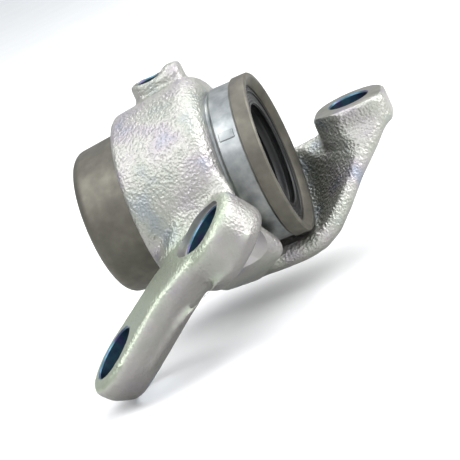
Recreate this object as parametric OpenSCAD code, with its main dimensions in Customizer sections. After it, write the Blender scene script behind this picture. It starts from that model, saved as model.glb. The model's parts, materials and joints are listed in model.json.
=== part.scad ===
// Front steering knuckle for a small utility vehicle: a plated iron casting around a steel
// bearing sleeve, with a sealed double-row wheel bearing and two oil seals inside.
// The wheel axis is X, and +X points out of the drive-shaft mouth. +Z is up. The origin is
// the centre of the wheel bearing.

/* [Wheel bearing] */
// Bore of the inner rings, which the hub shaft fills
bearing_bore = 30; // [27:0.5:33]
// Outer diameter of the wheel bearing, and the bore of the sleeve
bearing_od = 55; // [53:0.5:58]
// Width of the wheel bearing
bearing_width = 32; // [29:0.5:36]
// Diameter of the bearing balls
ball_d = 7.9; // [7:0.1:8.4]
// Balls in each row
ball_count = 13; // [9:1:13]
// Distance of each ball row from the middle of the bearing
row_offset = 6.6; // [5.8:0.1:7.4]

/* [Bearing sleeve] */
// Free length between the step behind the bearing and the rib behind the wheel-side seal
back_room = 7; // [4:0.5:12]
// Free length between the retaining ring and the drive-shaft-side seal
front_room = 7; // [3:0.1:10]
// Wall of the sleeve inside the clamped band
sleeve_wall = 3; // [2.5:0.1:4]
// Wall of the neck between the band and the lip
neck_wall = 3.7; // [3.2:0.1:4.4]
// Wall of the lip at the drive-shaft mouth
lip_wall = 4.5; // [4:0.1:5.5]
// Axial length of the lip
lip_length = 6; // [4:0.5:9]
// Radius of the rolled edge at the wheel-side end
end_round = 5; // [4:0.5:7]
// How much the barrel narrows in radius towards its wheel-side end
barrel_taper = 1.5; // [0:0.1:3]

/* [Oil seals] */
// Width of the drive-shaft-side seal
front_seal_width = 8; // [7:0.5:9]
// Shaft diameter that the drive-shaft-side seal runs on
front_seal_shaft = 40; // [36:1:42]
// How far the drive-shaft-side seal sits below the face of the lip
front_seal_depth = 3; // [1:0.5:4]
// Outer diameter of the wheel-side seal
back_seal_od = 45; // [43:1:46]
// Width of the wheel-side seal
back_seal_width = 7; // [6:0.5:8]
// Shaft diameter that the wheel-side seal runs on
back_seal_shaft = 32; // [31:1:34]
// How far the wheel-side seal sits below the end of the sleeve
back_seal_depth = 1; // [0.5:0.5:2]

/* [Cast band] */
// Wheel-side end of the band, behind the middle of the bearing
band_back = 18; // [15:0.5:22]
// Drive-shaft-side end of the band, in front of the middle of the bearing
band_front = 19; // [17:0.5:22]
// Wall of the band at its wheel-side end
band_wall = 5.5; // [4.5:0.1:7]
// Extra wall that the casting draft adds towards the drive-shaft side
band_draft = 3.4; // [1:0.1:4]

/* [Ball-joint ear] */
// Ear position along the wheel axis
ear_x = 62; // [58:0.5:64]
// Ear position across the wheel axis
ear_y = 36; // [35:0.5:40]
// Height of the machined top face of the ear
ear_z = 0.5; // [-2:0.5:3]
// Diameter of the ball-joint hole
ear_hole_d = 16; // [12:0.5:18]
// Radius of the rounded end of the ear
ear_radius = 15; // [13:0.5:17]
// Thickness of the ear
ear_thickness = 12; // [10:0.5:14]

/* [Steering arm] */
// Tilt of the arm about the Y axis
arm_tilt = 33; // [28:1:38]
// Twist of the arm towards its free side
arm_twist = 10; // [5:1:14]
// Diameter of the hole at the root of the arm
root_hole_d = 21; // [16:0.5:22]
// Diameter of the tie-rod hole at the tip of the arm
tip_hole_d = 20.5; // [14:0.5:22]
// Distance between the two holes, along the arm
arm_reach = 52.5; // [44:0.5:56]
// Sideways offset of the tip hole
arm_splay = 9.5; // [5:0.5:14]
// Radius of the eye at the tip
tip_radius = 16; // [15:0.5:18]
// Radius of the root of the arm
root_radius = 17; // [15:0.5:19]
// Height of the top of the arm above the machined root face
arm_rise = 5; // [3:0.2:7]
// Depth of the bottom of the arm below the machined root face
arm_drop = 10.4; // [9:0.1:13]

/* [Bracket boss] */
// Position of the tapped hole along the wheel axis
boss_x = -1; // [-4:0.5:2]
// Position of the tapped hole across the wheel axis
boss_y = 12; // [10:0.5:14]
// Height of the machined boss face above the wheel-side end of the band
boss_rise = 6.6; // [5:0.2:10]
// Bore of the tapped hole
boss_hole_d = 8.5; // [6:0.1:9]
// Depth of the tapped hole
boss_hole_depth = 9; // [7:0.5:10]

/* [Hidden] */
$fn = 72;
// Clearances between pieces, as gaps
running_gap = 0.1;      // balls in their raceways and pockets
cage_gap = 0.5;         // cages beside the ring shoulders
shield_gap = 0.2;       // bearing shields over the inner rings
lip_clearance = 1.6;    // curved arm outside the sleeve lip
cut_over = 1;           // how far a cut runs past the face it opens
// Wheel bearing
bore_r = bearing_bore / 2;
outer_r = bearing_od / 2;
half_width = bearing_width / 2;
pitch_r = (bore_r + outer_r) / 2;
ball_r = ball_d / 2;
shoulder_gap = 3.7;     // radial space between the inner and outer shoulders
inner_shoulder_r = pitch_r - shoulder_gap / 2;
outer_shoulder_r = pitch_r + shoulder_gap / 2;
ring_chamfer = 0.6;
shield_t = 1.2;
shield_inset = 0.4;     // shield face below the ring face
shield_seat_r = outer_shoulder_r + 1.8;
shield_seat_depth = 2.2;
cage_lead = 2.4;        // cage edge on the inner side of the balls
cage_rim = 1.05;        // cage left beyond the balls, on their outer side
cage_trail = ball_r + cage_rim;
clip_half = 2.2;
clip_t = 1.2;
// Retaining ring
ring_t = 1.8;
ring_groove = 1.3;      // how deep the ring sits in the sleeve
ring_band = 3.2;        // radial width of the ring
ring_opening = 32;      // degrees that the ring leaves open
ring_lug_r = 3;
ring_lug_hole_d = 2.5;
// Sleeve
sleeve_r = outer_r + sleeve_wall;
neck_r = outer_r + neck_wall;
lip_r = outer_r + lip_wall;
barrel_end_r = sleeve_r - barrel_taper;
neck_groove = 1;
rear_shoulder = 3.2;    // radial height of the step behind the bearing
rear_shoulder_t = 5;
back_seal_r = back_seal_od / 2;
seal_rib = 2.5;         // radial height of the step behind the wheel-side seal
seal_rib_t = 2.5;
mouth_ledge = 0.5;  // straight bore left between the chamfer and the seal
mouth_chamfer = min(2.5, front_seal_depth - mouth_ledge);
edge_chamfer = 0.6;
sleeve_back = half_width + rear_shoulder_t + back_room + seal_rib_t + back_seal_width
    + back_seal_depth;  // from the middle of the bearing to the wheel-side end
sleeve_front = half_width + ring_t + front_room + front_seal_width + front_seal_depth;
front_seal_face = sleeve_front - front_seal_depth;
back_seal_face = -sleeve_back + back_seal_depth;
seal_skin = 0.7;        // rubber over the steel case
seal_case_t = 1;
seal_ridge = 0.5;
spring_r = 0.7;
// Casting
band_r = sleeve_r + band_wall;
band_front_r = band_r + band_draft;
band_round = 7;
band_edge = 1.5;
boss_z = band_r + boss_rise;
arm_shell = 9;          // thickness of the curved arm
arm_inner_r = lip_r + lip_clearance;
arm_mid_r = arm_inner_r + arm_shell / 2;
arm_set_back = 1.3;
arm_bend = sleeve_front - arm_set_back;  // where the curved arm leaves the circle round the lip
ear_front = 16.5;       // from the ear hole to the front of the ear
ear_corner_r = 7;
shaft_room_r = 18.5;    // free radius for the drive shaft past the ear
nut_room_r = 11.5;      // room for a nut under the ear
arm_root = [8, -(band_r + 16), -5.5];
root_drop = 16;
root_face_r = root_hole_d / 2 + 2;
arm_tip = [-arm_reach, -arm_splay];
arm_waist = 13;         // half-width of the steering arm where it leaves its root
arm_draft = 4;          // how much narrower the underside of the steering arm is
boss_r = 6.5;
boss_back = 8;
boss_front = 13.5;
knob_rise = 2;
knob_back = 5.5;

// A body of revolution about the wheel axis, from a profile of [radius, x] points
module turned(profile) {
    rotate([0, 90, 0]) rotate_extrude() polygon(profile);
}

// A ring of round section about the wheel axis
module torus(centre_r, x, section_r) {
    rotate([0, 90, 0]) rotate_extrude() translate([centre_r, x]) circle(r = section_r);
}

// A rod along the wheel axis
module axle_rod(radius, from, to) {
    translate([from, 0, 0]) rotate([0, 90, 0]) cylinder(r = radius, h = to - from);
}

// Turns a wheel-side piece to the drive-shaft side, and the other way round
module other_side() {
    mirror([1, 0, 0]) children();
}

// ---------- wheel bearing ----------

module outer_ring() {
    seat_x = half_width - shield_seat_depth;
    color("lightsteelblue") difference() {
        turned([
            [outer_shoulder_r, -seat_x], [shield_seat_r, -seat_x], [shield_seat_r, -half_width],
            [outer_r - ring_chamfer, -half_width], [outer_r, -half_width + ring_chamfer],
            [outer_r, half_width - ring_chamfer], [outer_r - ring_chamfer, half_width],
            [shield_seat_r, half_width], [shield_seat_r, seat_x], [outer_shoulder_r, seat_x]
        ]);
        for (x = [-row_offset, row_offset]) torus(pitch_r, x, ball_r + running_gap);
    }
}

// One of the two inner rings, on the drive-shaft side
module inner_ring() {
    color("lightsteelblue") difference() {
        turned([
            [bore_r, 0], [inner_shoulder_r - clip_t, 0], [inner_shoulder_r - clip_t, clip_half],
            [inner_shoulder_r, clip_half], [inner_shoulder_r, half_width - ring_chamfer],
            [inner_shoulder_r - ring_chamfer, half_width], [bore_r + ring_chamfer, half_width],
            [bore_r, half_width - ring_chamfer]
        ]);
        torus(pitch_r, row_offset, ball_r + running_gap);
    }
}

// The band that snaps the two inner rings together between the ball rows
module inner_ring_clip() {
    color("dimgray") turned([
        [inner_shoulder_r - clip_t, -clip_half], [inner_shoulder_r, -clip_half],
        [inner_shoulder_r, clip_half], [inner_shoulder_r - clip_t, clip_half]
    ]);
}

module ball_row() {
    color("silver") for (i = [0 : ball_count - 1])
        rotate([360 * i / ball_count, 0, 0])
            translate([row_offset, 0, pitch_r]) sphere(r = ball_r, $fn = 40);
}

// Moulded cage with one round pocket for each ball
module cage() {
    color("darkkhaki") difference() {
        turned([
            [inner_shoulder_r + cage_gap, row_offset - cage_lead],
            [outer_shoulder_r - cage_gap, row_offset - cage_lead],
            [outer_shoulder_r - cage_gap, row_offset + cage_trail],
            [inner_shoulder_r + cage_gap, row_offset + cage_trail]
        ]);
        for (i = [0 : ball_count - 1])
            rotate([360 * i / ball_count, 0, 0])
                translate([row_offset, 0, pitch_r]) sphere(r = ball_r + running_gap, $fn = 40);
    }
}

// Rubber-faced shield that closes the bearing between its rings
module bearing_shield() {
    face = half_width - shield_inset;
    low = inner_shoulder_r + shield_gap;
    mid = (low + shield_seat_r) / 2;
    color("#1c1c1e") turned([
        [low, face - shield_t], [shield_seat_r, face - shield_t], [shield_seat_r, face],
        [mid + 1, face], [mid + 0.7, face + 0.25], [mid - 0.7, face + 0.25], [mid - 1, face],
        [low, face]
    ]);
}

// ---------- retaining ring ----------

module retaining_ring() {
    ring_r = outer_r + ring_groove;
    x = half_width;
    lug_at = ring_opening / 2 + 7;
    lug_path = ring_r - ring_band - ring_lug_r / 2;
    color("#3a3a3c") difference() {
        union() {
            difference() {
                axle_rod(ring_r, x, x + ring_t);
                axle_rod(ring_r - ring_band, x - cut_over, x + ring_t + cut_over);
                // the opening, a wedge that is wider than the ring
                translate([x - cut_over, 0, 0]) rotate([0, 90, 0])
                    linear_extrude(ring_t + 2 * cut_over) polygon([
                        [0, 0],
                        [2 * ring_r * cos(ring_opening / 2), 2 * ring_r * sin(ring_opening / 2)],
                        [2 * ring_r * cos(ring_opening / 2), -2 * ring_r * sin(ring_opening / 2)]
                    ]);
            }
            for (side = [-1, 1]) rotate([side * lug_at + 180, 0, 0])
                translate([x, 0, lug_path]) rotate([0, 90, 0])
                    cylinder(r = ring_lug_r, h = ring_t);
        }
        for (side = [-1, 1]) rotate([side * lug_at + 180, 0, 0])
            translate([x - cut_over, 0, lug_path]) rotate([0, 90, 0])
                cylinder(d = ring_lug_hole_d, h = ring_t + 2 * cut_over, $fn = 24);
    }
}

// ---------- oil seals ----------
// Each seal is drawn with its outer face at x = 0 and its lip reaching to -x.

module seal_rubber(seal_r, shaft_r, width) {
    case_in = shaft_r + 2.6;
    color("#161618") difference() {
        turned([
            [seal_r, 0], [seal_r, -width], [seal_r - seal_skin, -width],
            [seal_r - seal_skin, -seal_skin], [case_in, -seal_skin],
            [case_in, -2.2], [shaft_r + 2.1, -width + 1.4], [shaft_r + 1, -width + 1.2],
            [shaft_r, -width + 2.6], [shaft_r + 1, -2.6], [shaft_r + 1, -1.6],
            [shaft_r + 0.1, -0.2], [shaft_r + 0.4, 0.4], [shaft_r + 2, -0.1],
            [seal_r - 2.7, 0], [seal_r - 2.4, seal_ridge], [seal_r - 2, seal_ridge],
            [seal_r - 1.7, 0]
        ]);
        torus(shaft_r + 2.5, -width + 2.6, spring_r);
    }
}

module seal_case(seal_r, shaft_r, width) {
    out = seal_r - seal_skin;
    case_in = shaft_r + 2.6;
    color("slategray") turned([
        [out, -width + 0.6], [out, -seal_skin], [case_in, -seal_skin],
        [case_in, -seal_skin - seal_case_t], [out - seal_case_t, -seal_skin - seal_case_t],
        [out - seal_case_t, -width + 0.6]
    ]);
}

module seal_spring(shaft_r, width) {
    color("silver") torus(shaft_r + 2.5, -width + 2.6, spring_r);
}

module at_front_seal() {
    translate([front_seal_face, 0, 0]) children();
}

module at_back_seal() {
    translate([back_seal_face, 0, 0]) other_side() children();
}

// ---------- bearing sleeve ----------

module bearing_sleeve() {
    back = -sleeve_back;
    groove_x = half_width + ring_t;
    relief_r = outer_r - rear_shoulder;
    rib_back = back_seal_face + back_seal_width;
    steps = 8;
    // the rolled edge at the wheel-side end, from its face out to the barrel
    rolled = [for (i = [0 : steps])
        let (a = 90 * i / steps)
        [barrel_end_r - end_round + end_round * sin(a), back + end_round - end_round * cos(a)]];
    outside = concat(
        rolled,
        [[sleeve_r, -band_back], [sleeve_r, band_front],
         [neck_r - neck_groove, band_front], [neck_r - neck_groove, band_front + 1],
         [neck_r, band_front + 1 + neck_groove], [neck_r, sleeve_front - lip_length - 0.8],
         [lip_r, sleeve_front - lip_length], [lip_r, sleeve_front - edge_chamfer],
         [lip_r - edge_chamfer, sleeve_front]]
    );
    inside = [
        [outer_r + mouth_chamfer, sleeve_front], [outer_r, sleeve_front - mouth_chamfer],
        [outer_r, groove_x], [outer_r + ring_groove, groove_x],
        [outer_r + ring_groove, half_width], [outer_r, half_width], [outer_r, -half_width],
        [relief_r, -half_width], [relief_r, -half_width - rear_shoulder_t],
        [back_seal_r + 0.5, rib_back + seal_rib_t], [back_seal_r - seal_rib, rib_back + seal_rib_t],
        [back_seal_r - seal_rib, rib_back], [back_seal_r, rib_back], [back_seal_r, back + 0.2]
    ];
    color("#8f8e86") turned(concat(outside, inside));
}

// ---------- knuckle casting ----------

module arm_frame() {
    translate(arm_root) rotate([arm_twist, -arm_tilt, 0]) children();
}

module cast_band() {
    turned([
        [sleeve_r, -band_back], [band_r - band_edge, -band_back],
        [band_r - 0.3 * band_edge, -band_back + 0.3 * band_edge],
        [band_r, -band_back + band_edge], [band_front_r, band_front - band_round],
        [band_front_r - 0.2 * band_round, band_front - 0.5 * band_round],
        [band_front_r - 0.6 * band_round, band_front - 0.1 * band_round],
        [band_front_r - band_round, band_front], [sleeve_r, band_front]
    ]);
}

// A round-edged point of the curved arm: x, degrees from straight down towards +Y, radius
module shell_ball(x, angle, centre_r = arm_mid_r) {
    translate([x, centre_r * sin(angle), -centre_r * cos(angle)])
        sphere(d = arm_shell, $fn = 20);
}

// A round-edged point of the curved arm, at its own place
module arm_ball(place) {
    translate(place) sphere(d = arm_shell, $fn = 20);
}

// Where the curved arm crosses in front of the sleeve, and where it meets the ear
module arm_turn() {
    arm_ball([arm_bend + 13.5, 4, -29]);
    arm_ball([arm_bend + 15, 24, -25]);
    arm_ball([arm_bend + 11, 36.5, -13.5]);
}

// The curved arm, a thick shell that leaves the band below the sleeve and turns up behind it
module curved_arm() {
    hull() {
        for (x = [0, arm_bend]) for (a = [-6, 34, 70]) shell_ball(x, a);
    }
    hull() {
        for (a = [-2, 34, 70]) shell_ball(arm_bend, a);
        arm_turn();
    }
    // web that carries the ear
    hull() {
        arm_turn();
        for (x = [-10, 9]) for (y = [-11.5, 3])
            arm_ball([ear_x + x, ear_y + y, ear_z - ear_thickness + arm_shell / 2 + 0.5]);
    }
}

// Room for the sleeve lip, the drive-shaft joint and the shaft inside the curved arm
module joint_room() {
    turned([
        [0, band_front], [arm_inner_r, band_front], [arm_inner_r, sleeve_front + 1.5],
        [shaft_room_r + 5.5, sleeve_front + 14.5], [shaft_room_r, sleeve_front + 24],
        [shaft_room_r, ear_x + 30], [0, ear_x + 30]
    ]);
}

module ear_pad() {
    translate([ear_x, ear_y, ear_z - ear_thickness]) linear_extrude(ear_thickness) {
        circle(r = ear_radius);
        translate([-ear_radius, -ear_front + ear_corner_r])
            square([2 * ear_radius, ear_front - ear_corner_r]);
        translate([-ear_radius + ear_corner_r, -ear_front])
            square([2 * (ear_radius - ear_corner_r), ear_front]);
        for (side = [-1, 1])
            translate([side * (ear_radius - ear_corner_r), -ear_front + ear_corner_r])
                circle(r = ear_corner_r);
    }
}

// One layer of the steering arm: two discs, over the tip and the root
module arm_layer(from, to, inset) {
    translate([arm_tip[0], arm_tip[1], from])
        cylinder(r = tip_radius - inset, h = to - from, $fn = 48);
    translate([0, 0, from]) cylinder(r = arm_waist - inset, h = to - from, $fn = 48);
}

module steering_arm() {
    hull() {
        arm_layer(0, arm_rise - 1, 0);
        arm_layer(0, arm_rise, 1);
        arm_layer(-arm_drop, 0, arm_draft);
        arm_layer(-arm_drop + 3, 0, arm_draft - 2.5);
    }
    translate([0, 0, -root_drop]) cylinder(r = root_radius, h = root_drop + arm_rise - 3);
}

// Points on the band, given for a band of 36 mm radius, as balls
module band_balls(places, radius) {
    for (p = places)
        translate([p[0], p[1] * band_r / 36, p[2] * band_r / 36]) sphere(r = radius, $fn = 20);
}

// Metal between the root of the steering arm, the band and the curved arm
module root_fillet() {
    hull() {
        band_balls([[-2, -45, -20], [19, -42, -12], [2, -26, -31], [22, -26, -27], [8, -6, -37]], 5);
        band_balls([[2, -36, -8]], 5);
    }
    // the shoulder that slopes from the band down to the far side of the arm
    hull() {
        band_balls([[15, -34.5, 5], [-12, -35, -13]], 4);
        arm_frame() for (p = [[11, 14, -3.5], [-20, 10, 0.5]]) translate(p) sphere(r = 3, $fn = 20);
        band_balls([[8, -28, -18]], 4);
    }
}

module bracket_boss() {
    translate([boss_x, boss_y, 0]) linear_extrude(boss_z) {
        translate([-boss_back + boss_r, 0]) circle(r = boss_r);
        translate([-boss_back + boss_r, -boss_r])
            square([boss_front + boss_back - boss_r - 2, 2 * boss_r]);
    }
    translate([boss_x + knob_back, boss_y - boss_r + 1, 0])
        linear_extrude(boss_z + knob_rise) square([boss_front - knob_back, 2 * boss_r - 2]);
}

module knuckle_casting() {
    root_reach = root_drop + arm_rise;
    color("#c9c8c3") difference() {
        union() {
            cast_band();
            bracket_boss();
            arm_frame() steering_arm();
            root_fillet();
            difference() {
                curved_arm();
                joint_room();
                // room for a nut under the ear
                translate([ear_x, ear_y, ear_z - ear_thickness - 40])
                    cylinder(r = nut_room_r, h = 40);
            }
            ear_pad();
        }
        // bore for the sleeve, and room round its barrel and lip
        axle_rod(sleeve_r, -band_back - cut_over, band_front + cut_over);
        axle_rod(arm_inner_r, band_front, sleeve_front + 1.5);
        axle_rod(sleeve_r + lip_clearance, -sleeve_back - 10, -band_back);
        // ball-joint hole
        translate([ear_x, ear_y, ear_z - ear_thickness - cut_over])
            cylinder(d = ear_hole_d, h = ear_thickness + 2 * cut_over);
        // machined root face and the two holes of the steering arm
        arm_frame() {
            cylinder(r = root_face_r, h = root_reach);
            translate([-root_face_r, -2 * root_radius, 0])
                cube([2 * root_face_r, 2 * root_radius, root_reach]);
            translate([0, 0, -2 * root_reach]) cylinder(d = root_hole_d, h = 3 * root_reach);
            translate([0, 0, -2 * root_reach])
                cylinder(r = root_face_r, h = 2 * root_reach - root_drop);
            translate([arm_tip[0], arm_tip[1], -root_reach])
                cylinder(d = tip_hole_d, h = 2 * root_reach);
        }
        // tapped hole
        translate([boss_x, boss_y, boss_z - boss_hole_depth])
            cylinder(d = boss_hole_d, h = boss_hole_depth + cut_over);
    }
}

// ---------- nodes ----------

knuckle_casting();
bearing_sleeve();
outer_ring();
inner_ring();  // inboard_inner_ring
other_side() inner_ring();  // outboard_inner_ring
inner_ring_clip();
cage();  // inboard_cage
ball_row();  // inboard_balls
other_side() cage();  // outboard_cage
other_side() ball_row();  // outboard_balls
bearing_shield();  // inboard_shield
other_side() bearing_shield();  // outboard_shield
retaining_ring();
at_front_seal() seal_rubber(outer_r, front_seal_shaft / 2, front_seal_width);  // inboard_seal_rubber
at_front_seal() seal_case(outer_r, front_seal_shaft / 2, front_seal_width);  // inboard_seal_case
at_front_seal() seal_spring(front_seal_shaft / 2, front_seal_width);  // inboard_seal_spring
at_back_seal() seal_rubber(back_seal_r, back_seal_shaft / 2, back_seal_width);  // outboard_seal_rubber
at_back_seal() seal_case(back_seal_r, back_seal_shaft / 2, back_seal_width);  // outboard_seal_case
at_back_seal() seal_spring(back_seal_shaft / 2, back_seal_width);  // outboard_seal_spring
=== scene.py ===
"""Dresses the steering knuckle: a zinc-plated casting round a bare steel bearing sleeve, with
its oil seals and bearing, on a pale studio floor. Sizes are in millimetres unless named."""

import json
import math

import bpy
from mathutils import Matrix, Vector


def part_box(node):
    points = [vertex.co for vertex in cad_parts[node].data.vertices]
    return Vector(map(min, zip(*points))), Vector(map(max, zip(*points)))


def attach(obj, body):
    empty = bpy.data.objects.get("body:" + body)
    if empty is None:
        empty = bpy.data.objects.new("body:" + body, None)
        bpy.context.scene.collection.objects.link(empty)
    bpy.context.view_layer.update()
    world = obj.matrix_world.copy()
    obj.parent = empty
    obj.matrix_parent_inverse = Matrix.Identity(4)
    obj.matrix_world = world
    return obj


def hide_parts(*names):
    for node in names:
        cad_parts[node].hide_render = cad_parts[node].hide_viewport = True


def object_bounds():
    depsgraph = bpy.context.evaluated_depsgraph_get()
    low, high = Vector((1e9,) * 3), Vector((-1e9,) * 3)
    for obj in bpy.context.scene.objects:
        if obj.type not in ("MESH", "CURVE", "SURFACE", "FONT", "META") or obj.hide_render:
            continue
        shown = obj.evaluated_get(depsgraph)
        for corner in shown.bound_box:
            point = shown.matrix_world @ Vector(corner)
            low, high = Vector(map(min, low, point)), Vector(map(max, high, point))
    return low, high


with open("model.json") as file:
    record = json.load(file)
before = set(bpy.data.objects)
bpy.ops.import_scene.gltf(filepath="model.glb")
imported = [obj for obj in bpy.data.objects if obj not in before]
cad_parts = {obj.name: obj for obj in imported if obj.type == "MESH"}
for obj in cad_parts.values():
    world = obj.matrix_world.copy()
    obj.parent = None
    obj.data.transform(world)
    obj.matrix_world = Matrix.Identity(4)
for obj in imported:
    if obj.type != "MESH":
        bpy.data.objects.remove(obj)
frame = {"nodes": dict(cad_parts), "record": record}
CAD_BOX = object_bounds()
MM = 0.001


# ---------- the CAD's sizes, read from the frame ----------


def span(node, axis):
    """Lowest and highest coordinate of a CAD node along one axis, in millimetres."""
    low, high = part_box(node)
    return low[axis] / MM, high[axis] / MM


SLEEVE_BACK, SLEEVE_FRONT = span("bearing_sleeve", 0)
LIP_R = span("bearing_sleeve", 2)[1]
OUTER_R = span("outer_ring", 2)[1]
HALF_WIDTH = span("outer_ring", 0)[1]
BACK_SEAL = span("outboard_seal_rubber", 0)
BACK_SEAL_R = span("outboard_seal_rubber", 2)[1]
MOUNTS = {m["name"]: m for m in frame["record"]["mounts"]}

SLEEVE_R = OUTER_R + 3  # the clamped length of the sleeve
NECK_R = OUTER_R + 3.7
LIP_LENGTH = 6
LIP_SLOPE = 0.8  # the lip's back edge rises to its full radius over this length
MOUTH_CHAMFER = 2.5
BAND = (-18, 19)  # wheel-side and shaft-side ends of the cast band
BAND_R = (36, 39.4)  # its radius at each end
SHOULDER_ROUND = 7  # of the band's shaft-side edge
ROOM = 1.6  # air between the casting and the free ends of the sleeve
ARM_SHELL = 4.5  # half the thickness of the curved arm
ARM_R = LIP_R + ROOM + ARM_SHELL  # middle of the curved arm, clear of the lip
EAR = Vector((62, 36, 0.5))  # centre of the ear's top face
EAR_R = 15
BOSS = Vector((-1, 12, 42.6))
BARREL_END_R = 29
BARREL_ROUND = 5
SEAM_ANGLE = math.radians(35.5)  # the sleeve's weld seam, up from the -Y side

# Frame of the steering arm: x along it, z out of its machined face
ARM_TIP = Vector((-52.5, -9.5, 0))
ARM_TOP, ARM_LOW = 5, -10.4  # the arm's faces, from the machined face of its root
ROOT_LOW = -16
arm_axis = Vector(MOUNTS["arm_root_hole"]["axis"])
ARM_LEAN = math.radians(33)  # from the wheel axis, seen along Y
arm_along = Vector((math.cos(ARM_LEAN), 0, math.sin(ARM_LEAN)))
arm_across = arm_axis.cross(arm_along)
arm_root = Vector(MOUNTS["arm_root_hole"]["pos_m"]) / MM - arm_axis * ROOT_LOW / 2
ARM_FRAME = Matrix((arm_along, arm_across, arm_axis)).transposed().to_4x4()
ARM_FRAME.translation = arm_root
WHEEL_FRAME = Matrix.Rotation(math.radians(90), 4, "Y")  # local z along the wheel axis
UPRIGHT = Matrix.Identity(4)


# ---------- modelling helpers ----------


def edit(obj=None):
    """Leaves edit mode with nothing selected, or enters it on one object."""
    if bpy.context.object and bpy.context.object.mode == "EDIT":
        bpy.ops.object.mode_set(mode="OBJECT")
    bpy.ops.object.select_all(action="DESELECT")
    if obj:
        bpy.context.view_layer.objects.active = obj
        obj.select_set(True)
        bpy.ops.object.mode_set(mode="EDIT")


def finish_mesh(name, place=UPRIGHT):
    """Leaves edit mode, bakes the object's place into its mesh, and names it."""
    bpy.ops.object.mode_set(mode="OBJECT")
    obj = bpy.context.object
    to_metres = Matrix.Diagonal((MM, MM, MM, 1))
    obj.data.transform(to_metres @ place @ obj.matrix_world)
    obj.matrix_world = Matrix.Identity(4)
    obj.name = obj.data.name = name
    return obj


def modify(obj, kind, **settings):
    """Adds one modifier, sets it and applies it."""
    edit()
    bpy.context.view_layer.objects.active = obj
    obj.select_set(True)
    modifier = obj.modifiers.new(kind.lower(), kind)
    for key, value in settings.items():
        setattr(modifier, key, value)
    bpy.ops.object.modifier_apply(modifier=modifier.name)
    return obj


def turned(name, profile, place=WHEEL_FRAME, steps=128, bevel=0.0):
    """A solid of revolution from a closed profile of (radius, height) points."""
    edit()
    bpy.ops.mesh.primitive_plane_add(size=1, location=(profile[0][0], 0, profile[0][1]))
    bpy.ops.object.mode_set(mode="EDIT")
    bpy.ops.mesh.select_all(action="SELECT")
    bpy.ops.mesh.merge(type="CENTER")
    for here, there in zip(profile, profile[1:]):
        step = (there[0] - here[0], 0, there[1] - here[1])
        bpy.ops.mesh.extrude_region_move(TRANSFORM_OT_translate={"value": step})
    bpy.ops.mesh.select_all(action="SELECT")
    bpy.ops.mesh.spin(
        steps=steps, angle=2 * math.pi, center=(0, 0, 0), axis=(0, 0, 1), use_auto_merge=True
    )
    bpy.ops.mesh.select_all(action="SELECT")
    bpy.ops.mesh.remove_doubles(threshold=0.001)
    bpy.ops.mesh.normals_make_consistent(inside=False)
    obj = finish_mesh(name, place)
    if bevel:
        modify(
            obj, "BEVEL", width=bevel * MM, segments=3, limit_method="ANGLE",
            angle_limit=math.radians(25),
        )  # fmt: skip
    smooth(obj)
    return obj


def smooth(obj, degrees=32):
    edit()
    bpy.context.view_layer.objects.active = obj
    obj.select_set(True)
    bpy.ops.object.shade_smooth_by_angle(angle=math.radians(degrees))


def lump(name, balls, place=UPRIGHT):
    """The smooth skin stretched round a set of (x, y, z, radius) balls."""
    edit()
    bpy.ops.mesh.primitive_ico_sphere_add(subdivisions=2, radius=balls[0][3], location=balls[0][:3])
    bpy.ops.object.transform_apply(location=True, rotation=True, scale=True)
    bpy.ops.object.mode_set(mode="EDIT")
    for x, y, z, radius in balls[1:]:
        bpy.ops.mesh.primitive_ico_sphere_add(subdivisions=2, radius=radius, location=(x, y, z))
    bpy.ops.mesh.select_all(action="SELECT")
    bpy.ops.mesh.convex_hull()
    bpy.ops.mesh.normals_make_consistent(inside=False)
    return finish_mesh(name, place)


def chain(name, ribs, place=UPRIGHT):
    """Lumps stretched from each rib of balls to the next."""
    return [lump(name, a + b, place) for a, b in zip(ribs, ribs[1:])]


def join(name, objs):
    edit()
    for obj in objs:
        obj.select_set(True)
    bpy.context.view_layer.objects.active = objs[0]
    bpy.ops.object.join()
    obj = bpy.context.object
    obj.name = obj.data.name = name
    return obj


def cut(obj, tool):
    """Cuts the tool's shape out of the object, and removes the tool."""
    modify(obj, "BOOLEAN", operation="DIFFERENCE", solver="MANIFOLD", object=tool)
    bpy.data.objects.remove(tool)


def hole(obj, radius, bottom, top, place, chamfer=0.5):
    """Drills a hole along the place's own z, chamfered where it opens at top and bottom."""
    over = 30
    profile = [
        (0, bottom - over), (radius + chamfer, bottom - over), (radius + chamfer, bottom),
        (radius, bottom + chamfer), (radius, top - chamfer), (radius + chamfer, top),
        (radius + chamfer, top + over), (0, top + over),
    ]  # fmt: skip
    cut(obj, turned("drill", profile, place, steps=96))


def spot_face(obj, radius, level, place, reach=30):
    """Mills a flat round face, open above the level."""
    profile = [(0, level), (radius, level), (radius, level + reach), (0, level + reach)]
    cut(obj, turned("mill", profile, place, steps=96))


# ---------- materials ----------


def srgb(code):
    """Linear colour of an sRGB hex code."""
    channels = [int(code[i : i + 2], 16) / 255 for i in (1, 3, 5)]
    return (*[c / 12.92 if c <= 0.04045 else ((c + 0.055) / 1.055) ** 2.4 for c in channels], 1)


def node(tree, kind, settings=None, links=None):
    """Adds a node, sets its properties, and sets or links its inputs."""
    made = tree.nodes.new(kind)
    for key, value in (settings or {}).items():
        setattr(made, key, value)
    for key, value in (links or {}).items():
        if isinstance(value, bpy.types.NodeSocket):
            tree.links.new(value, made.inputs[key])
        else:
            made.inputs[key].default_value = value
    return made


def ramp(tree, factor, stops):
    """A colour ramp through (position, hex colour) stops."""
    made = node(tree, "ShaderNodeValToRGB", links={"Fac": factor})
    band = made.color_ramp
    while len(band.elements) < len(stops):
        band.elements.new(1)
    for element, (position, code) in zip(band.elements, stops):
        element.position, element.color = position, srgb(code)
    return made.outputs["Color"]


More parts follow.
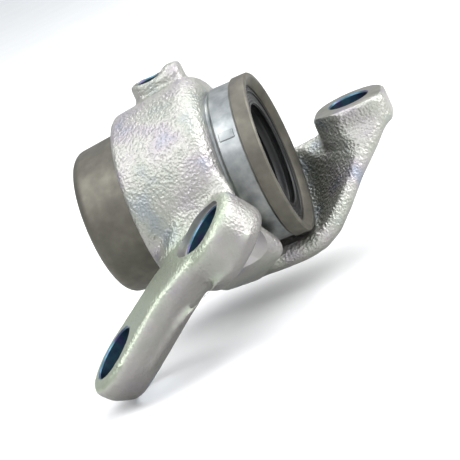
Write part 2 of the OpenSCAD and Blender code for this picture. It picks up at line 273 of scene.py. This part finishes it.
def new_material(name):
    """An empty material with its tree, its shader and Object coordinates in metres."""
    material = bpy.data.materials.new(name)
    material.use_nodes = True
    tree = material.node_tree
    shader = tree.nodes["Principled BSDF"]
    coords = node(tree, "ShaderNodeTexCoord").outputs["Object"]
    return material, tree, shader, coords


def per_metre(size_mm):
    """Texture scale whose features are about size_mm apart."""
    return 1 / (size_mm * MM)


def zinc_plated_cast_iron():
    """Sand-cast iron under bright zinc: silvery, pebbled, with a faint rainbow passivate film; its green and
    lilac tints also paint light, a highlight on faces that catch it and shade on faces turned down.
    """
    material, tree, shader, coords = new_material("zinc_plated_cast_iron")
    drift = node(
        tree, "ShaderNodeTexNoise", links={"Vector": coords, "Scale": per_metre(18), "Detail": 3}
    ).outputs["Fac"]
    film = ramp(
        tree, drift,
        [(0.32, "#a3a8ab"), (0.44, "#b2b4ac"), (0.52, "#bcbab6"), (0.62, "#b3aeb1"), (0.72, "#a1a5b1")],
    )  # fmt: skip
    # a green tint with painted highlight and a darker lilac tint with painted shade, each laid on by its
    # vertex group
    for group, tint in (("green_film_and_painted_highlight", "#b3bda8"), ("lilac_film_and_painted_shade", "#827e7e")):
        amount = node(tree, "ShaderNodeAttribute", {"attribute_name": group}).outputs["Fac"]
        part = node(
            tree, "ShaderNodeMath", {"operation": "MULTIPLY"}, {0: amount, 1: 0.75}
        ).outputs[0]
        film = node(
            tree, "ShaderNodeMix", {"data_type": "RGBA"}, {0: part, 6: film, 7: srgb(tint)}
        ).outputs[2]
    grain = node(
        tree, "ShaderNodeTexNoise",
        links={"Vector": coords, "Scale": per_metre(0.9), "Detail": 2, "Roughness": 0.6},
    ).outputs["Fac"]  # fmt: skip
    pits = node(
        tree, "ShaderNodeTexVoronoi", {"feature": "SMOOTH_F1"},
        {"Vector": coords, "Scale": per_metre(1.2), "Smoothness": 0.5},
    ).outputs["Distance"]  # fmt: skip
    sandy = node(tree, "ShaderNodeAttribute", {"attribute_name": "sand"}).outputs["Fac"]
    height = node(
        tree, "ShaderNodeMath", {"operation": "MULTIPLY_ADD"}, {0: pits, 1: 0.8, 2: grain}
    ).outputs[0]
    bump = node(
        tree, "ShaderNodeBump", links={"Strength": sandy, "Distance": 0.4 * MM, "Height": height}
    )
    rough = node(
        tree, "ShaderNodeMapRange", links={"Value": grain, "To Min": 0.36, "To Max": 0.54}
    ).outputs[0]
    tree.links.new(film, shader.inputs["Base Color"])
    tree.links.new(rough, shader.inputs["Roughness"])
    tree.links.new(bump.outputs["Normal"], shader.inputs["Normal"])
    shader.inputs["Metallic"].default_value = 1.0
    return material


def zinc_plated_bore():
    """Drilled metal under thick passivate that pooled in the hole: deep blue to teal."""
    material, tree, shader, coords = new_material("zinc_plated_bore")
    drift = node(
        tree, "ShaderNodeTexNoise", links={"Vector": coords, "Scale": per_metre(6), "Detail": 2}
    ).outputs["Fac"]
    film = ramp(tree, drift, [(0.35, "#4c6684"), (0.5, "#57808e"), (0.66, "#66628c")])
    tree.links.new(film, shader.inputs["Base Color"])
    shader.inputs["Metallic"].default_value = 1.0
    shader.inputs["Roughness"].default_value = 0.34
    return material


def zinc_plated_faced_pad():
    """A milled pad under zinc: satin, olive grey, with the cutter's curved marks."""
    material, tree, shader, coords = new_material("zinc_plated_faced_pad")
    drift = node(
        tree, "ShaderNodeTexNoise", links={"Vector": coords, "Scale": per_metre(7), "Detail": 4}
    ).outputs["Fac"]
    centred = node(
        tree, "ShaderNodeMapping", {"vector_type": "POINT"},
        {"Vector": coords, "Location": (-EAR.x * MM, -(EAR.y - 60) * MM, 0)},
    ).outputs[0]  # fmt: skip
    marks = node(
        tree, "ShaderNodeTexWave", {"wave_type": "RINGS", "rings_direction": "Z"},
        {"Vector": centred, "Scale": per_metre(5.5), "Distortion": 0.6, "Detail": 1.0},
    ).outputs["Fac"]  # fmt: skip
    bump = node(
        tree, "ShaderNodeBump", links={"Strength": 0.25, "Distance": 0.04 * MM, "Height": marks}
    )
    film = ramp(tree, drift, [(0.3, "#8d8d82"), (0.5, "#a3a297"), (0.7, "#98939b")])
    tree.links.new(film, shader.inputs["Base Color"])
    tree.links.new(bump.outputs["Normal"], shader.inputs["Normal"])
    shader.inputs["Metallic"].default_value = 1.0
    shader.inputs["Roughness"].default_value = 0.36
    return material


def bare_turned_steel():
    """Low-carbon steel tube turned in a lathe and left bare: dull olive grey barrel and lip, with
    a bright burnished neck where the plating's overspray caught it."""
    material, tree, shader, coords = new_material("bare_turned_steel")
    rings = node(
        tree, "ShaderNodeMapping", links={"Vector": coords, "Scale": (per_metre(0.5), 25, 25)}
    ).outputs[0]
    lines = node(
        tree, "ShaderNodeTexNoise", links={"Vector": rings, "Scale": 1.0, "Detail": 2}
    ).outputs["Fac"]
    smudge = node(
        tree, "ShaderNodeTexNoise", links={"Vector": coords, "Scale": per_metre(5), "Detail": 6}
    ).outputs["Fac"]
    along = node(tree, "ShaderNodeSeparateXYZ", links={"Vector": coords}).outputs["X"]
    start, end = (BAND[1] - 1) * MM, (SLEEVE_FRONT - LIP_LENGTH) * MM
    entered = node(
        tree, "ShaderNodeMapRange", links={"Value": along, "From Min": start, "From Max": start + MM}
    ).outputs[0]
    left = node(
        tree, "ShaderNodeMapRange", links={"Value": along, "From Min": end, "From Max": end - MM}
    ).outputs[0]
    neck = node(tree, "ShaderNodeMath", {"operation": "MULTIPLY"}, {0: entered, 1: left}).outputs[0]
    dull = ramp(tree, smudge, [(0.3, "#6a6861"), (0.5, "#726f67"), (0.7, "#7b786f")])
    bright = ramp(tree, smudge, [(0.3, "#85898b"), (0.5, "#9a9e9f"), (0.7, "#b0b2b1")])
    colour = node(
        tree, "ShaderNodeMix", {"data_type": "RGBA"}, {0: neck, 6: dull, 7: bright}
    ).outputs[2]
    matt = node(
        tree, "ShaderNodeMapRange", links={"Value": smudge, "To Min": 0.58, "To Max": 0.48}
    ).outputs[0]
    rough = node(
        tree, "ShaderNodeMath", {"operation": "MULTIPLY_ADD"}, {0: neck, 1: -0.12, 2: matt}
    ).outputs[0]
    bump = node(
        tree, "ShaderNodeBump", links={"Strength": 0.12, "Distance": 0.05 * MM, "Height": lines}
    )
    tree.links.new(colour, shader.inputs["Base Color"])
    tree.links.new(rough, shader.inputs["Roughness"])
    tree.links.new(bump.outputs["Normal"], shader.inputs["Normal"])
    shader.inputs["Metallic"].default_value = 1.0
    return material


def ground_bearing_steel():
    """Through-hardened ring steel, ground all over: bright, with fine lines round the axis."""
    material, tree, shader, coords = new_material("ground_bearing_steel")
    rings = node(
        tree, "ShaderNodeMapping", links={"Vector": coords, "Scale": (per_metre(0.3), 30, 30)}
    ).outputs[0]
    lines = node(
        tree, "ShaderNodeTexNoise", links={"Vector": rings, "Scale": 1.0, "Detail": 2}
    ).outputs["Fac"]
    rough = node(
        tree, "ShaderNodeMapRange", links={"Value": lines, "To Min": 0.16, "To Max": 0.30}
    ).outputs[0]
    tree.links.new(ramp(tree, lines, [(0.3, "#a9acae"), (0.7, "#c3c5c6")]), shader.inputs["Base Color"])
    tree.links.new(rough, shader.inputs["Roughness"])
    shader.inputs["Metallic"].default_value = 1.0
    return material


def polished_ball_steel():
    """Lapped chrome-steel balls and bright spring wire, with a trace of grease."""
    material, tree, shader, coords = new_material("polished_ball_steel")
    grease = node(
        tree, "ShaderNodeTexNoise", links={"Vector": coords, "Scale": per_metre(4), "Detail": 3}
    ).outputs["Fac"]
    rough = node(
        tree, "ShaderNodeMapRange", links={"Value": grease, "To Min": 0.05, "To Max": 0.22}
    ).outputs[0]
    tree.links.new(ramp(tree, grease, [(0.3, "#c9cbcd"), (0.7, "#bcb7a4")]), shader.inputs["Base Color"])
    tree.links.new(rough, shader.inputs["Roughness"])
    shader.inputs["Metallic"].default_value = 1.0
    return material


def pressed_strip_steel():
    """Cold-rolled strip pressed to shape: satin grey with a faint rolling grain."""
    material, tree, shader, coords = new_material("pressed_strip_steel")
    grain = node(
        tree, "ShaderNodeTexNoise", links={"Vector": coords, "Scale": per_metre(0.8), "Detail": 4}
    ).outputs["Fac"]
    rough = node(
        tree, "ShaderNodeMapRange", links={"Value": grain, "To Min": 0.32, "To Max": 0.5}
    ).outputs[0]
    tree.links.new(ramp(tree, grain, [(0.3, "#7c7e80"), (0.7, "#939597")]), shader.inputs["Base Color"])
    tree.links.new(rough, shader.inputs["Roughness"])
    shader.inputs["Metallic"].default_value = 1.0
    return material


def phosphated_spring_steel():
    """Stamped spring steel with an oiled manganese phosphate coat: nearly black, fine crystals."""
    material, tree, shader, coords = new_material("phosphated_spring_steel")
    crystals = node(
        tree, "ShaderNodeTexNoise", links={"Vector": coords, "Scale": per_metre(0.4), "Detail": 3}
    ).outputs["Fac"]
    bump = node(
        tree, "ShaderNodeBump", links={"Strength": 0.3, "Distance": 0.03 * MM, "Height": crystals}
    )
    tree.links.new(ramp(tree, crystals, [(0.3, "#26262a"), (0.7, "#3b3b3f")]), shader.inputs["Base Color"])
    tree.links.new(bump.outputs["Normal"], shader.inputs["Normal"])
    shader.inputs["Metallic"].default_value = 0.6
    shader.inputs["Roughness"].default_value = 0.45
    return material


def moulded_nylon():
    """Injection-moulded glass-filled nylon: straw coloured, waxy, with darker flow marks."""
    material, tree, shader, coords = new_material("moulded_nylon")
    flow = node(
        tree, "ShaderNodeTexNoise", links={"Vector": coords, "Scale": per_metre(6), "Detail": 3}
    ).outputs["Fac"]
    tree.links.new(ramp(tree, flow, [(0.3, "#b3a67c"), (0.7, "#c8bd96")]), shader.inputs["Base Color"])
    shader.inputs["Roughness"].default_value = 0.42
    shader.inputs["Subsurface Weight"].default_value = 0.1
    shader.inputs["Subsurface Scale"].default_value = 0.5 * MM
    return material


def moulded_nitrile_rubber():
    """Nitrile rubber moulded in a turned tool: black, finely ridged in rings, with a dusty bloom."""
    material, tree, shader, coords = new_material("moulded_nitrile_rubber")
    bloom = node(
        tree, "ShaderNodeTexNoise", links={"Vector": coords, "Scale": per_metre(5), "Detail": 4}
    ).outputs["Fac"]
    rough = node(
        tree, "ShaderNodeMapRange", links={"Value": bloom, "To Min": 0.36, "To Max": 0.55}
    ).outputs[0]
    ridges = node(
        tree, "ShaderNodeTexWave", {"wave_type": "RINGS", "rings_direction": "X"},
        {"Vector": coords, "Scale": per_metre(3.6)},
    ).outputs["Fac"]  # fmt: skip
    bump = node(
        tree, "ShaderNodeBump", links={"Strength": 0.6, "Distance": 0.3 * MM, "Height": ridges}
    )
    tree.links.new(bump.outputs["Normal"], shader.inputs["Normal"])
    tree.links.new(ramp(tree, bloom, [(0.3, "#0d0d0f"), (0.7, "#1b1b1d")]), shader.inputs["Base Color"])
    tree.links.new(rough, shader.inputs["Roughness"])
    return material


def studio_paper():
    """Seamless white background paper, that shows grey in the metal's reflections."""
    material, tree, shader, coords = new_material("studio_paper")
    fibre = node(
        tree, "ShaderNodeTexNoise", links={"Vector": coords, "Scale": per_metre(40), "Detail": 2}
    ).outputs["Fac"]
    white = ramp(tree, fibre, [(0.3, "#fbfbfb"), (0.7, "#fefefe")])
    seen = node(tree, "ShaderNodeLightPath").outputs["Is Camera Ray"]
    colour = node(
        tree, "ShaderNodeMix", {"data_type": "RGBA"}, {0: seen, 6: srgb("#d4d5d2"), 7: white}
    ).outputs[2]
    tree.links.new(colour, shader.inputs["Base Color"])
    shader.inputs["Roughness"].default_value = 0.9
    return material


PLATED = zinc_plated_cast_iron()
BORED = zinc_plated_bore()
FACED = zinc_plated_faced_pad()
BARE_STEEL = bare_turned_steel()
RING_STEEL = ground_bearing_steel()
BALL_STEEL = polished_ball_steel()
STRIP_STEEL = pressed_strip_steel()
PHOSPHATED = phosphated_spring_steel()
NYLON = moulded_nylon()
RUBBER = moulded_nitrile_rubber()
PAPER = studio_paper()


def dress(obj, *materials):
    obj.data.materials.clear()
    for material in materials:
        obj.data.materials.append(material)


def stands_for(obj, cad_node, body, slot, *materials):
    """The piece takes over from a CAD node, on the same body and with its finish."""
    if materials:
        dress(obj, *materials)
    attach(obj, body)
    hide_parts(cad_node)


# ---------- the casting ----------


def round_x(x, degrees, radius, ball):
    """A ball at an angle round the wheel axis, from straight down towards +Y."""
    a = math.radians(degrees)
    return (x, radius * math.sin(a), -radius * math.cos(a), ball)


def ring_of_balls(centre, radius, level, ball, count=14):
    """Balls round a flat circle, whose outside reaches the radius."""
    turn = [2 * math.pi * i / count for i in range(count)]
    reach = radius - ball
    return [
        (centre[0] + reach * math.cos(a), centre[1] + reach * math.sin(a), level, ball)
        for a in turn
    ]


def band_lump():
    """The cast band, as a turned blank with a rounded front shoulder."""
    back, front = BAND
    r = SHOULDER_ROUND
    shoulder = [
        (BAND_R[1] - r + r * math.cos(a), front - r + r * math.sin(a))
        for a in [math.radians(15 * i) for i in range(7)]
    ]
    profile = [(0, back), (BAND_R[0] - 1, back), (BAND_R[0], back + 1), *shoulder, (0, front)]
    return turned("band", profile, steps=96)


def curved_arm_lumps():
    """The curved arm, rib by rib from under the band to the underside of the ear."""
    s = ARM_SHELL
    ribs = [
        [round_x(x, a, radius, s) for a in (-6, 14, 34, 54, 70)]
        for x, radius in ((2, ARM_R - 1), (18, ARM_R), (29, ARM_R), (36, ARM_R - 1.2))
    ]
    ribs += [
        [(42, -1, -34, s), (42, 14, -32, s), (42, 28, -25, s), (42, 37, -12.5, s)],
        [(48, 4, -28.8, s), (48, 16, -27, s), (48, 28, -21, s), (46.5, 37, -12, s)],
        [(55, 11, -21.8, s), (55, 22, -20, s), (53, 32, -15, s), (50, 38, -10.5, s)],
        [(63.3, 18, -15.2, s), (63, 28, -13.5, s), (58, 36, -10.5, s), (53, 38, -8, s)],
        [(70.5, 23.5, -8.5, s), (71, 33, -7, s), (61, 41, -6.5, s), (52, 38, -6, s), (51.5, 25, -6, s)],
    ]
    return chain("curved_arm", ribs)


def ear_lump():
    """The ear, a pad with a round back and softly cornered front."""
    top, low, edge = EAR.z + 0.4, EAR.z - 12, 1.5
    corner = 7
    round_back = ring_of_balls(EAR, EAR_R, top - edge, edge, 24)
    front = EAR.y - 16.5
    corners = [
        (
            EAR.x + side * (EAR_R - corner + (corner - edge) * math.cos(a)),
            front + corner - (corner - edge) * math.sin(a), top - edge, edge,
        )
        for side in (-1, 1)
        for a in [math.radians(22.5 * i) for i in range(5)]
    ]
    upper = [b for b in round_back if b[1] > EAR.y - 2] + corners
    lower = [(x, y, low + edge, r) for x, y, _, r in upper]
    return lump("ear", upper + lower)


def steering_arm_lumps():
    """The flat steering arm with its round eye, and the thick root under its machined pad."""
    eye = (
        ring_of_balls(ARM_TIP, 16, ARM_TOP - 2, 2)
        + ring_of_balls(ARM_TIP, 15.6, -2, 3)
        + ring_of_balls(ARM_TIP, 12.5, ARM_LOW + 3.5, 3.5)
    )
    waist = [
        (-26, side * (half - ball) - 4.6, level, ball)
        for side in (-1, 1)
        for half, level, ball in (
            (12.8, ARM_TOP - 2.5, 2.5), (12.6, -2, 3), (9.8, ARM_LOW + 3.2, 3.5)
        )
    ]  # fmt: skip
    neck = (
        ring_of_balls((0, 0), 13.5, -1.7, 2.5)
        + ring_of_balls((0, 0), 13.5, -2.2, 3)
        + ring_of_balls((0, 0), 10.5, ARM_LOW + 3, 3.5)
    )
    root = ring_of_balls((0, 0), 17, -1.5, 3, 20) + ring_of_balls((0, 0), 17, ROOT_LOW + 4, 4, 20)
    return chain("steering_arm", [eye, waist, neck], ARM_FRAME) + [lump("root", root, ARM_FRAME)]


def in_arm(x, y, z, ball):
    """A ball given in the steering arm's frame, for a lump in the main frame."""
    return (*(ARM_FRAME @ Vector((x, y, z))), ball)


def root_fillet():
    """Metal that carries the root of the steering arm into the band and the curved arm."""
    under = [(-2, -45, -20), (19, -42, -12), (2, -26, -31), (22, -26, -27), (8, -6, -37)]
    shoulder = [
        [(16, -34.5, 6, 4), (8, -28, -8, 4), in_arm(12, 12.5, -3.5, 3)],
        [(2, -35, 0, 4), (0, -28, -10, 4), in_arm(-6, 12.5, -1.5, 3)],
        [(-13, -35, -13.5, 4), (-10, -28, -18, 4), in_arm(-21, 9, 1, 3)],
    ]
    # stubs left where the sand core was vented
    nubs = [
        lump("nub", [(22.4, -26.5, -14, 1.6), (23, -27, -16, 1.6)]),
        lump("nub", [(22.5, -27.5, -20, 1.8), (23, -26.5, -24, 1.8)]),
        lump("nub", [(26, -21, -18, 1.6), (26, -20, -21, 1.6)]),
    ]
    # the line where the two halves of the mould met, along the side of the arm
    seam = [in_arm(x, y, z, 0.8) for x, y, z in ((13, -13.2, -11), (0, -16.6, -12), (-14, -15.6, -9.4))]
    seam += [in_arm(-30, -17.3, -7, 0.9), in_arm(-46, -22.6, -6, 0.8)]
    flash = [lump("flash", [a, b]) for a, b in zip(seam, seam[1:])]
    lumps = [lump("root_fillet", [(*p, 5) for p in under])]
    return lumps + chain("shoulder", shoulder) + nubs + flash


def bracket_boss():
    """The small boss on top of the band, with a knob at its shaft-side end."""
    x, y, top = BOSS
    pad = [
        (x + dx, y + dy, z, 1.4)
        for dx, dy in ((-6.4, -1.5), (-6.4, 1.5), (-3.5, -4.9), (-3.5, 4.9), (11.5, -4.9), (11.5, 4.9))
        for z in (30, top - 1.0)
    ]
    knob = [(x + dx, y + dy, z, 1.8) for dx in (7.6, 11.6) for dy in (-3, 3) for z in (34, top + 0.6)]
    return [lump("boss", pad), lump("knob", knob)]


def clear_room(obj):
    """Clears the sleeve's barrel and lip, the drive shaft's way past the ear, and the nut."""
    back, front = BAND
    barrel = [(0, SLEEVE_BACK - 20), (SLEEVE_R + ROOM, SLEEVE_BACK - 20), (SLEEVE_R + ROOM, back), (0, back)]
    lip = LIP_R + ROOM
    shaft = [
        (0, front), (lip, front), (lip, SLEEVE_FRONT + 1.5), (24, SLEEVE_FRONT + 14.5),
        (18.5, SLEEVE_FRONT + 24), (18.5, SLEEVE_FRONT + 70), (0, SLEEVE_FRONT + 70),
    ]  # fmt: skip
    for profile in (barrel, shaft):
        cut(obj, turned("room", profile, steps=96))


def weight_by(obj, name, rule):
    """A vertex group whose weight is a rule of each point's place and normal."""
    group = obj.vertex_groups.new(name=name)
    for vertex in obj.data.vertices:
        group.add([vertex.index], rule(vertex.co / MM, vertex.normal), "REPLACE")


def fade(value, start, end):
    """0 at start, 1 at end, clamped."""
    return min(1.0, max(0.0, (value - start) / (end - start)))


def melt(place, normal):
    """How far a spot of the casting softens: hardly at all on the small boss."""
    return 0.08 + 0.92 * fade((place - BOSS).length, 13, 22)


def sand(place, normal):
    """How sandy the skin is: the underside and the arm's sides are smoother."""
    under = fade(-normal.z, 0.2, 0.8)
    arm = fade(-48 - place.y, 0, 8) * fade(-normal.dot(arm_across), 0.3, 0.8)
    return 1.0 - 0.6 * max(under, arm)


def green_film_and_painted_highlight(place, normal):
    """A pale green passivate tint, and a painted highlight: along the top of the steering arm and on the
    band's front rim, the faces that catch the light.
    """
    # green tint with painted highlight on the arm's upward faces and, weaker, on the band's front rim
    arm = fade(-place.y, 38, 46) * fade(normal.dot(arm_axis), 0.1, 0.6)
    rim = fade(place.x, 15, 18) * fade(22 - place.x, 0, 2) * fade(10 - place.z, 0, 10)
    return max(arm, 0.4 * rim)


def lilac_film_and_painted_shade(place, normal):
    """A lilac passivate tint, darker than the plating, as painted shade: on the sides and underside of the
    steering arm, and on every face that looks down.
    """
    side = fade(-place.y, 44, 52) * fade(-normal.dot(arm_axis), -0.3, 0.2)
    # painted shade: the darker tint also goes on every face that looks down, weaker than on the arm's sides
    return max(side, 0.35 * fade(-normal.z, 0.0, 0.7))


def knuckle_casting():
    lumps = [band_lump(), ear_lump(), *curved_arm_lumps(), *steering_arm_lumps()]
    casting = join("knuckle_casting_skin", lumps + root_fillet() + bracket_boss())
    voxel = 0.9 * MM
    modify(casting, "REMESH", mode="VOXEL", voxel_size=voxel)
    clear_room(casting)
    modify(casting, "REMESH", mode="VOXEL", voxel_size=voxel, use_smooth_shade=True)
    weight_by(casting, "melt", melt)
    modify(casting, "SMOOTH", factor=0.5, iterations=14, vertex_group="melt")
    for name, rule in (("sand", sand), ("green_film_and_painted_highlight", green_film_and_painted_highlight), ("lilac_film_and_painted_shade", lilac_film_and_painted_shade)):
        weight_by(casting, name, rule)
    pebbles = bpy.data.textures.new("sand_pebbles", "CLOUDS")
    pebbles.noise_scale, pebbles.noise_depth = 1.3 * MM, 1
    modify(
        casting, "DISPLACE", texture=pebbles, texture_coords="GLOBAL", strength=0.16 * MM,
        mid_level=0.5, vertex_group="sand",
    )  # fmt: skip
    machine(casting)
    return casting


def machine(casting):
    """The cuts made after casting: the sleeve's bore, the faced pads and the holes."""
    back, front = BAND
    bore = [(0, back - 5), (SLEEVE_R, back - 5), (SLEEVE_R, front + 2), (0, front + 2)]
    cut(casting, turned("boring_bar", bore, steps=160))
    ear_place = Matrix.Translation(EAR)
    spot_face(casting, 11.5, -40, ear_place @ Matrix.Translation((0, 0, -12)), reach=40)
    hole(casting, 8, -12, 0.1, ear_place, 0.6)
    spot_face(casting, 40, 0, ear_place, reach=3)
    spot_face(casting, 11.8, 0, ARM_FRAME, 12)
    spot_face(casting, 12.5, ROOT_LOW - 20, ARM_FRAME, 20)
    hole(casting, 10.5, ROOT_LOW, 0, ARM_FRAME, 0.4)
    hole(casting, 10.25, ARM_LOW, ARM_TOP - 0.1, ARM_FRAME @ Matrix.Translation(ARM_TIP), 0.4)
    boss_place = Matrix.Translation(BOSS)
    spot_face(casting, 5.6, 0, boss_place)
    profile = [(0, -9), (4.25, -9), (4.25, -0.4), (4.65, 0), (4.65, 5), (0, 5)]
    cut(casting, turned("drill", profile, boss_place, steps=64))


def plate(casting):
    """Gives the drilled and faced skin its own film: every face on a cutter's path."""
    to_arm = ARM_FRAME.inverted()
    for face in casting.data.polygons:
        place, normal = face.center / MM, face.normal
        in_root = to_arm @ place
        in_tip = in_root - ARM_TIP
        in_ear = place - EAR
        bored = any(
            abs(Vector(spot[:2]).length - radius) < 0.55 and low - 0.2 < spot[2] < high
            for spot, radius, low, high in (
                (in_root, 10.5, ROOT_LOW, 0.1), (in_tip, 10.25, ARM_LOW, ARM_TOP),
                (in_ear, 8.1, -12, 0.1), (place - BOSS, 4.3, -9, 0.1),
            )
        )  # fmt: skip
        faced = min(abs(in_ear.z), abs(place.z - BOSS.z)) < 0.05 and normal.z > 0.9
        face.material_index = 1 if bored else 2 if faced else 0


casting = knuckle_casting()
smooth(casting, 40)
stands_for(casting, "knuckle_casting", "knuckle", "plated_casting", PLATED, BORED, FACED)
plate(casting)


# ---------- the bearing sleeve ----------


def weld_mark():
    """The flattened bead of the tube's seam, left standing on the neck."""
    corners = [
        (x, -NECK_R * math.cos(SEAM_ANGLE + turn), NECK_R * math.sin(SEAM_ANGLE + turn), 0.35)
        for x in (BAND[1] + 3.2, SLEEVE_FRONT - LIP_LENGTH - 2.4)
        for turn in (-0.045, 0.045)
    ]
    return lump("weld_mark", corners)


def sleeve():
    back, front = SLEEVE_BACK, SLEEVE_FRONT
    r = BARREL_ROUND
    lip = front - LIP_LENGTH
    arc = [math.radians(11.25 * i) for i in range(9)]
    rolled = [
        (BARREL_END_R - r + r * math.sin(a), back + r - r * math.cos(a)) for a in arc
    ]
    outside = rolled + [
        (SLEEVE_R, BAND[0]), (SLEEVE_R, BAND[1]), (NECK_R - 1, BAND[1]), (NECK_R - 1, BAND[1] + 1),
        (NECK_R, BAND[1] + 2), (NECK_R, lip - LIP_SLOPE), (LIP_R, lip), (LIP_R, front - 0.6),
        (LIP_R - 0.6, front),
    ]  # fmt: skip
    rib = BACK_SEAL[0] + 8
    inside = [
        (OUTER_R + MOUTH_CHAMFER, front), (OUTER_R, front - MOUTH_CHAMFER), (OUTER_R, HALF_WIDTH + 1.8),
        (OUTER_R + 1.3, HALF_WIDTH + 1.8), (OUTER_R + 1.3, HALF_WIDTH), (OUTER_R, HALF_WIDTH),
        (OUTER_R, -HALF_WIDTH), (OUTER_R - 3.2, -HALF_WIDTH), (OUTER_R - 3.2, -HALF_WIDTH - 5),
        (BACK_SEAL_R + 0.5, rib + 2), (BACK_SEAL_R - 2.5, rib + 2), (BACK_SEAL_R - 2.5, rib - 0.5),
        (BACK_SEAL_R, rib - 0.5), (BACK_SEAL_R, back + 0.2),
    ]  # fmt: skip
    profile = outside + inside
    tube = turned("tube", profile + [profile[0]], steps=160, bevel=0.25)
    return join("bearing_sleeve_turned", [tube, weld_mark()])


sleeve_piece = sleeve()
stands_for(sleeve_piece, "bearing_sleeve", "knuckle", "turned_sleeve", BARE_STEEL)


# ---------- the CAD pieces that stay, in better finishes ----------

FINISHES = {
    "outer_ring": RING_STEEL,
    "inboard_inner_ring": RING_STEEL,
    "outboard_inner_ring": RING_STEEL,
    "inner_ring_clip": STRIP_STEEL,
    "inboard_cage": NYLON,
    "outboard_cage": NYLON,
    "inboard_balls": BALL_STEEL,
    "outboard_balls": BALL_STEEL,
    "inboard_shield": RUBBER,
    "outboard_shield": RUBBER,
    "retaining_ring": PHOSPHATED,
    "inboard_seal_rubber": RUBBER,
    "outboard_seal_rubber": RUBBER,
    "inboard_seal_case": STRIP_STEEL,
    "outboard_seal_case": STRIP_STEEL,
    "inboard_seal_spring": BALL_STEEL,
    "outboard_seal_spring": BALL_STEEL,
}
for cad_node, material in FINISHES.items():
    dress(frame["nodes"][cad_node], material)


# ---------- floor, light and camera ----------


def floor():
    """A wide sheet of paper under the lowest point of the casting."""
    low = CAD_BOX[0][2] - 0.0005
    edit()
    bpy.ops.mesh.primitive_plane_add(size=6, location=(0, 0, low))
    sheet = bpy.context.object
    sheet.name = "floor"
    bpy.ops.object.transform_apply(location=True)
    dress(sheet, PAPER)


def softbox(name, place, size, power, aim=(0, 0, 0)):
    """A square area light aimed at a point. Places are in metres, power in watts."""
    data = bpy.data.lights.new(name, "AREA")
    data.size, data.energy = size, power
    light = bpy.data.objects.new(name, data)
    bpy.context.collection.objects.link(light)
    light.location = place
    light.rotation_euler = (Vector(aim) - Vector(place)).to_track_quat("-Z", "Y").to_euler()


def studio_world():
    """A pale room, white to the eye, that lights the metal from bright above to grey below."""
    scene = bpy.context.scene
    scene.view_settings.view_transform = "Standard"
    world = bpy.data.worlds.new("studio")
    scene.world = world
    world.use_nodes = True
    tree = world.node_tree
    direction = node(tree, "ShaderNodeTexCoord").outputs["Generated"]
    height = node(tree, "ShaderNodeSeparateXYZ", links={"Vector": direction}).outputs["Z"]
    lit = node(tree, "ShaderNodeMapRange", links={"Value": height, "From Min": -0.2, "From Max": 1.0})
    shade = ramp(tree, lit.outputs[0], [(0.0, "#bcbdbc"), (0.4, "#c3c5c7"), (1.0, "#f2f6fb")])
    seen = node(tree, "ShaderNodeLightPath").outputs["Is Camera Ray"]
    mixed = node(
        tree, "ShaderNodeMix", {"data_type": "RGBA"}, {0: seen, 6: shade, 7: srgb("#ffffff")}
    ).outputs[2]
    background = tree.nodes["Background"]
    tree.links.new(mixed, background.inputs["Color"])
    background.inputs["Strength"].default_value = 1.0


def camera():
    """13.4 degrees round to the right and 11.5 up, tilted 25.5 degrees, in metres."""
    distance = 0.7
    azimuth, elevation, tilt = (math.radians(d) for d in (13.4, 11.5, 25.5))
    back = Vector(
        (
            math.sin(azimuth) * math.cos(elevation),
            -math.cos(azimuth) * math.cos(elevation),
            math.sin(elevation),
        )
    )
    level = Vector((math.cos(azimuth), math.sin(azimuth), 0))
    upright = back.cross(level)
    up = math.sin(tilt) * level + math.cos(tilt) * upright
    across = math.cos(tilt) * level - math.sin(tilt) * upright
    place = back * distance
    aim = across * 0.0135 - up * 0.0165  # the middle of the object as the camera sees it
    back = (place - aim).normalized()
    right = up.cross(back).normalized()
    up = back.cross(right)
    data = bpy.data.cameras.new("camera")
    data.lens = 144.5
    eye = bpy.data.objects.new("camera", data)
    bpy.context.collection.objects.link(eye)
    bpy.context.scene.camera = eye
    eye.matrix_world = Matrix.Translation(place) @ Matrix((right, up, back)).transposed().to_4x4()


floor()
studio_world()
softbox("key", (-0.55, -0.5, 1.1), 1.0, 9)
softbox("front", (0.3, -0.9, 0.3), 1.0, 2)
softbox("side", (0.85, 0.1, 0.5), 0.8, 9)
softbox("back", (0.2, 0.6, 1.1), 0.7, 6)
camera()
